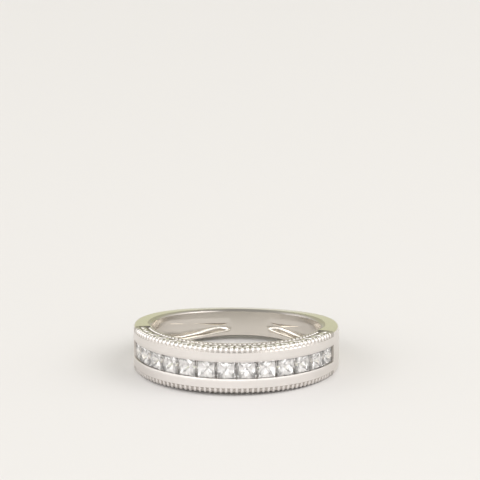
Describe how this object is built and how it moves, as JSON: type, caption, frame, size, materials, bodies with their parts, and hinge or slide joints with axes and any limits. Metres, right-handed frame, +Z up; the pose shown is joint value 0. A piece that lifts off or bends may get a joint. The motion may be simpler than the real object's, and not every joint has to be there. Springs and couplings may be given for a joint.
{
  "type": "channel set band ring",
  "caption": "Cast ring with a channel of square stones across its front, beaded corners, leaf-engraved side faces and a plain shank that narrows to the back.",
  "frame": {"origin": "bottom of the part, in the middle of its box seen from above", "axes": "+Z up and nearly along the finger hole; the jewelled front faces -Y; +X runs to the right seen from the front"},
  "size_m": [0.021, 0.0212, 0.0051],
  "materials": {
    "white_gold": "satin rails, polished shank and bright cut beads",
    "stone": "polished facets, clear and colourless"
  },
  "bodies": {
    "root": {"band": "white_gold", "stone_01": "stone", "stone_02": "stone", "stone_03": "stone", "stone_04": "stone", "stone_05": "stone", "stone_06": "stone", "stone_07": "stone", "stone_08": "stone", "stone_09": "stone", "stone_10": "stone", "stone_11": "stone", "stone_12": "stone", "stone_13": "stone"}
  },
  "joints": []
}
